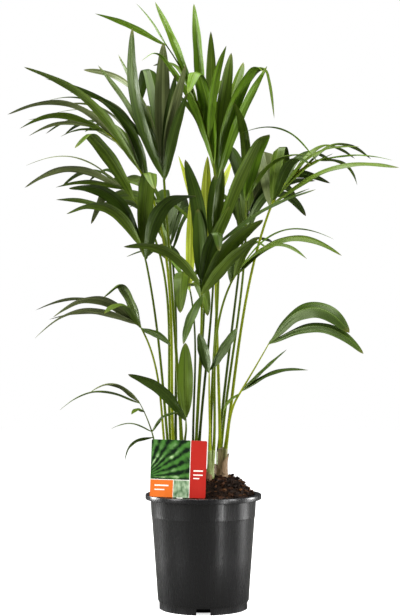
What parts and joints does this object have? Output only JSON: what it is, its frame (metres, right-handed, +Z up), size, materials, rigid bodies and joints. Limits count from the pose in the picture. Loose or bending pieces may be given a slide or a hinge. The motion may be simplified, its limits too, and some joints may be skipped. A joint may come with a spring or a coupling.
{
  "type": "potted palm",
  "caption": "Kentia palm with arching feathered fronds on slim stalks, growing in a black round nursery pot of dark potting mix with a label card.",
  "frame": {"origin": "centre of the pot's flat underside, on the ground", "axes": "+Z up along the pot's axis, -Y toward the side with the label card, +X to the right seen from that side"},
  "size_m": [0.799, 0.5235, 1.2455],
  "materials": {
    "pot": "black moulded nursery plastic with a soft sheen and fine upright draw marks",
    "soil": "dark brown coarse coir and bark potting mix",
    "label_card": "thin printed plastic card with plain colour fields",
    "cane": "green to tan leaf sheaths round the foot of each seedling",
    "stalk": "smooth yellow-green leaf stalks",
    "frond": "satin mid to deep green leaflets with fine lengthwise veins"
  },
  "bodies": {
    "root": {"pot": "pot", "soil": "soil", "label_card": "label_card", "cane_1": "cane", "cane_2": "cane", "cane_3": "cane", "cane_4": "cane", "cane_5": "cane", "cane_6": "cane", "cane_7": "cane", "cane_8": "cane", "stalk_01": "stalk", "stalk_02": "stalk", "stalk_03": "stalk", "stalk_04": "stalk", "stalk_05": "stalk", "stalk_06": "stalk", "stalk_07": "stalk", "stalk_08": "stalk", "stalk_09": "stalk", "stalk_10": "stalk", "stalk_11": "stalk", "stalk_12": "stalk", "stalk_13": "stalk", "stalk_14": "stalk", "stalk_15": "stalk", "stalk_16": "stalk", "stalk_17": "stalk", "stalk_18": "stalk", "stalk_19": "stalk", "stalk_20": "stalk", "frond_01": "frond", "frond_02": "frond", "frond_03": "frond", "frond_04": "frond", "frond_05": "frond", "frond_06": "frond", "frond_07": "frond", "frond_08": "frond", "frond_09": "frond", "frond_10": "frond", "frond_11": "frond", "frond_12": "frond", "frond_13": "frond", "frond_14": "frond", "frond_15": "frond", "frond_16": "frond", "frond_17": "frond", "frond_18": "frond", "frond_19": "frond", "frond_20": "frond"}
  },
  "joints": []
}
